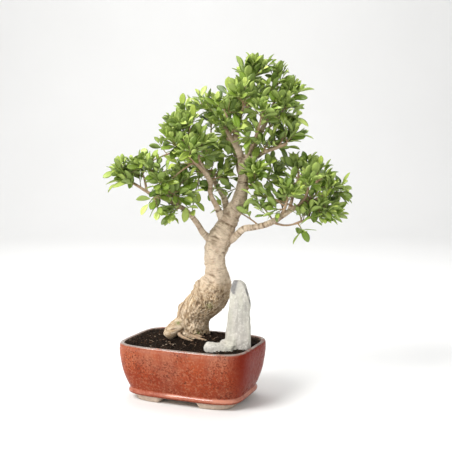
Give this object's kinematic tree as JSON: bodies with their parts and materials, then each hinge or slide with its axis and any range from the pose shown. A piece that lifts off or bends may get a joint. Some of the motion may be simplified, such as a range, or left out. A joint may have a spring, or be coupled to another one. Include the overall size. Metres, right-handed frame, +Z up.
{
  "type": "chinese banyan bonsai",
  "caption": "Bonsai tree with a leaning trunk, surface roots and leafy sprays, growing in soil beside an upright stone in a glazed, footed, rounded rectangular pot.",
  "frame": {"origin": "middle of the whole object's bounding box, on the surface that the pot's feet stand on", "axes": "+Z up, +X along the pot's long side towards the stone, +Y towards the pot's back"},
  "size_m": [0.4022, 0.2852, 0.6315],
  "materials": {
    "glaze": "glossy, mottled copper red",
    "screen": "matte",
    "soil": "loose, dark",
    "bark": "wrinkled bark",
    "stone": "rough",
    "leaf": "glossy above, paler below"
  },
  "bodies": {
    "root": {"pot": "glaze", "drain_screen_left": "screen", "drain_screen_right": "screen", "soil": "soil", "trunk": "bark", "stone": "stone", "spray_01": "leaf", "spray_02": "leaf", "spray_03": "leaf", "spray_04": "leaf", "spray_05": "leaf", "spray_06": "leaf", "spray_07": "leaf", "spray_08": "leaf", "spray_09": "leaf", "spray_10": "leaf", "spray_11": "leaf", "spray_12": "leaf", "spray_13": "leaf", "spray_14": "leaf", "spray_15": "leaf", "spray_16": "leaf", "spray_17": "leaf", "spray_18": "leaf", "spray_19": "leaf", "spray_20": "leaf", "spray_21": "leaf", "spray_22": "leaf", "spray_23": "leaf", "spray_24": "leaf", "spray_25": "leaf", "spray_26": "leaf", "spray_27": "leaf", "spray_28": "leaf", "spray_29": "leaf", "spray_30": "leaf", "spray_31": "leaf", "spray_32": "leaf", "spray_33": "leaf", "spray_34": "leaf", "spray_35": "leaf", "spray_36": "leaf", "spray_37": "leaf", "spray_38": "leaf", "spray_39": "leaf", "spray_40": "leaf", "spray_41": "leaf", "spray_42": "leaf", "spray_43": "leaf", "spray_44": "leaf", "spray_45": "leaf"}
  },
  "joints": []
}
